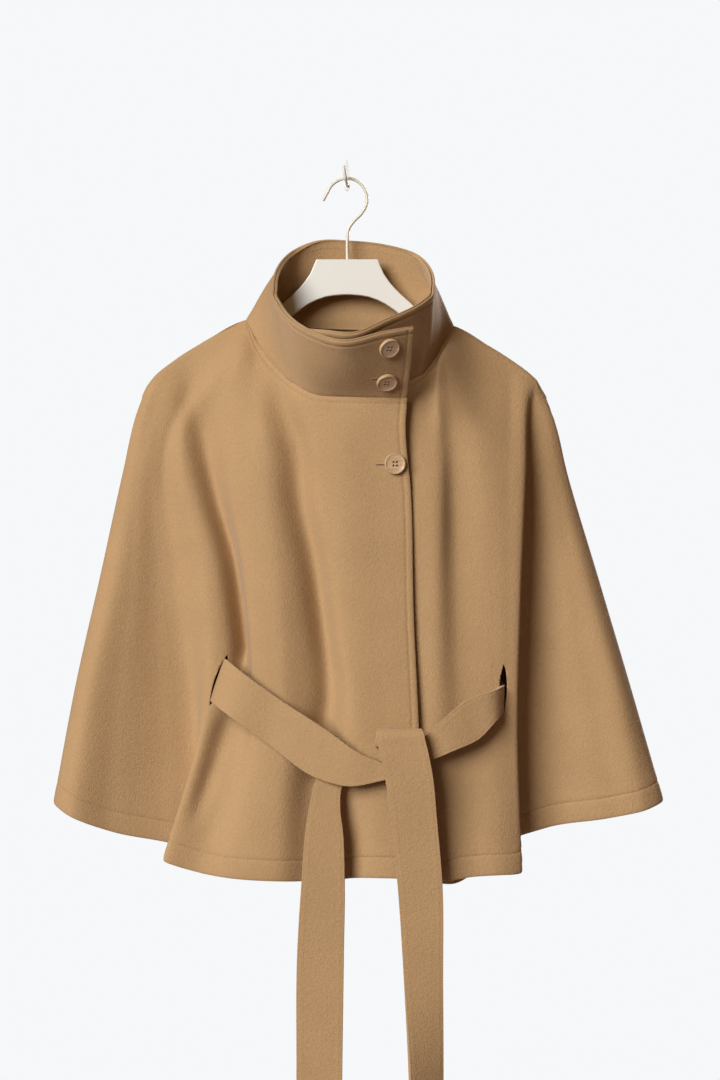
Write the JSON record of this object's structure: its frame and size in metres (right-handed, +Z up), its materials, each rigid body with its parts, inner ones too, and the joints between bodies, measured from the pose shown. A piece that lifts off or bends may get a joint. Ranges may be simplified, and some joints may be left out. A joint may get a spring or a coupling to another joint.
{
  "type": "belted wool cape on a flat hanger with a wall hook",
  "caption": "Camel wool cape with funnel collar, buttoned overlapping front, wide open wings and a self belt tied through waist slits, hung on a flat hanger from a wall hook.",
  "frame": {"origin": "the hanging point, where the inside top of the hanger's hook rests on the wall hook's peg", "axes": "+Z up; the front of the cape faces -Y and the wall is at +Y; +X is to the right of someone facing the front"},
  "size_m": [0.709, 0.181, 1.3141],
  "materials": {
    "wool": "camel melton wool, brushed nap, soft sheen",
    "horn": "light horn, satin",
    "hanger_paint": "cream satin paint on a flat wooden board",
    "hook_paint": "cream enamel on steel wire",
    "hook_white": "white, glossy"
  },
  "bodies": {
    "root": {"front_over": "wool", "front_under": "wool", "back": "wool", "collar": "wool", "collar_facing": "wool", "belt_left_strap": "wool", "belt_right_strap": "wool", "belt_tail_left": "wool", "belt_tail_right": "wool", "belt_back": "wool", "button_1": "horn", "button_2": "horn", "button_3": "horn", "hanger": "hanger_paint", "hanger_hook": "hook_paint", "wall_hook": "hook_white"}
  },
  "joints": []
}
